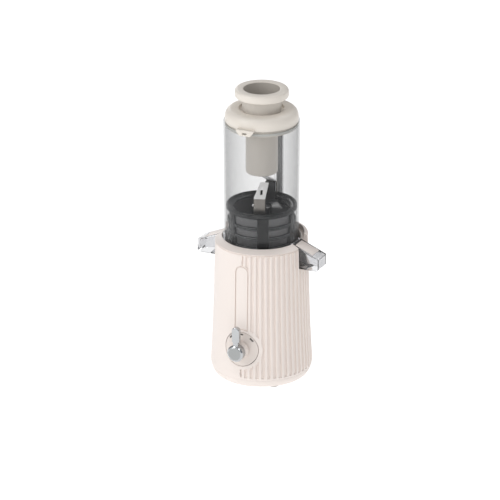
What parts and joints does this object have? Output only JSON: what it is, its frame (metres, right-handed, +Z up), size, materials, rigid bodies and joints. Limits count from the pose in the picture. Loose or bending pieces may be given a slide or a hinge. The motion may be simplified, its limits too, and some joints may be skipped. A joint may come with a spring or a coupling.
{
  "type": "slow juicer",
  "caption": "Upright slow juicer: fluted cream base with lever dial, clear bowl with side spouts, dark strainer, spinning auger with steel cutters, lift-off lid and cup-shaped pusher.",
  "frame": {"origin": "on the floor under the drive shaft's axis", "axes": "+Z up along the drive shaft, -Y out of the dial, +X towards the right spout"},
  "size_m": [0.176, 0.1523, 0.4045],
  "materials": {
    "cream_body": "satin off-white moulding",
    "lid_cream": "satin warm off-white moulding",
    "clear_bowl": "clear polished plastic",
    "charcoal": "satin charcoal moulding",
    "strainer_metal": "dark fine-etched steel",
    "cutter_steel": "polished steel",
    "knob_chrome": "chrome plated",
    "machined_steel": "machined steel",
    "gear_nylon": "nylon",
    "grey_plastic": "moulded grey plastic",
    "brass": "turned brass",
    "motor_steel": "plated steel",
    "magnet": "ferrite",
    "black_rubber": "soft rubber",
    "silicone": "translucent silicone",
    "board": "circuit board"
  },
  "bodies": {
    "base": {"body_shell": "cream_body", "bottom_cover": "cream_body", "rubber_feet": "black_rubber", "cover_screws": "machined_steel", "front_strip": "cream_body", "dial_plate": "cream_body", "rotary_switch": "grey_plastic", "bowl_seat": "cream_body", "shaft_seal": "black_rubber", "gearbox_case": "grey_plastic", "gearbox_cover": "grey_plastic", "lower_bearing": "machined_steel", "upper_bearing": "machined_steel", "gear_pins": "machined_steel", "motor_can": "motor_steel", "motor_end_cap": "charcoal", "motor_magnets": "magnet", "motor_bushes": "brass", "control_board": "board", "power_inlet": "charcoal", "interlock_switch": "charcoal"},
    "knob": {"knob_collar": "cream_body", "knob": "knob_chrome"},
    "output": {"drive_shaft": "machined_steel", "output_gear": "machined_steel"},
    "second_wheel": {"second_gear": "gear_nylon"},
    "first_wheel": {"first_gear": "gear_nylon"},
    "rotor": {"motor_pinion": "brass", "motor_shaft": "machined_steel", "rotor_core": "motor_steel", "cooling_fan": "grey_plastic"},
    "plunger": {"switch_plunger": "gear_nylon"},
    "bowl_set": {"bowl": "clear_bowl", "right_spout": "clear_bowl", "left_spout": "clear_bowl", "right_spout_cover": "cream_body", "left_spout_cover": "cream_body", "auger_bush": "grey_plastic", "floor_seal": "silicone", "strainer_frame": "charcoal", "strainer_mesh": "strainer_metal"},
    "auger_set": {"auger": "charcoal", "cutters": "cutter_steel"},
    "rod": {"interlock_rod": "grey_plastic", "rod_spring": "machined_steel"},
    "lid_set": {"lid": "lid_cream", "lid_seal": "silicone"},
    "pusher": {"pusher": "lid_cream"}
  },
  "joints": [
    {"name": "knob_turn", "type": "hinge", "parent": "base", "child": "knob", "pos_m": [0, -0.07, 0.0585], "axis": [0, -1, 0], "range_deg": [-45, 45]},
    {"name": "drive_spin", "type": "hinge", "parent": "base", "child": "output", "pos_m": [0, 0, 0.15], "axis": [0, 0, 1], "continuous": true},
    {"name": "second_gear_spin", "type": "hinge", "parent": "base", "child": "second_wheel", "pos_m": [0, 0.035, 0.13], "axis": [0, 0, 1], "continuous": true},
    {"name": "first_gear_spin", "type": "hinge", "parent": "base", "child": "first_wheel", "pos_m": [0.01949, 0.02375, 0.12], "axis": [0, 0, 1], "continuous": true},
    {"name": "motor_spin", "type": "hinge", "parent": "base", "child": "rotor", "pos_m": [0.01949, 0.00275, 0.08], "axis": [0, 0, 1], "continuous": true},
    {"name": "plunger_slide", "type": "slide", "parent": "base", "child": "plunger", "axis": [0, 0, 1], "range_m": [0, 0.0016]},
    {"name": "bowl_lift", "type": "slide", "parent": "base", "child": "bowl_set", "axis": [0, 0, 1], "range_m": [0, 0.08]},
    {"name": "auger_spin", "type": "hinge", "parent": "bowl_set", "child": "auger_set", "pos_m": [0, 0, 0.2], "axis": [0, 0, 1], "continuous": true},
    {"name": "rod_slide", "type": "slide", "parent": "bowl_set", "child": "rod", "axis": [0, 0, 1], "range_m": [0, 0.0026], "deforming": ["rod_spring"]},
    {"name": "lid_lift", "type": "slide", "parent": "bowl_set", "child": "lid_set", "axis": [0, 0, 1], "range_m": [0, 0.12]},
    {"name": "pusher_slide", "type": "slide", "parent": "lid_set", "child": "pusher", "axis": [0, 0, 1], "range_m": [0, 0.1]}
  ],
  "couplings": [
    {"joint": "auger_spin", "follows": "drive_spin", "ratio": 1},
    {"joint": "second_gear_spin", "follows": "drive_spin", "ratio": -4},
    {"joint": "first_gear_spin", "follows": "drive_spin", "ratio": 16},
    {"joint": "motor_spin", "follows": "drive_spin", "ratio": -64},
    {"joint": "rod_slide", "follows": "lid_lift", "ratio": 0.020833},
    {"joint": "plunger_slide", "follows": "lid_lift", "ratio": 0.0125}
  ]
}
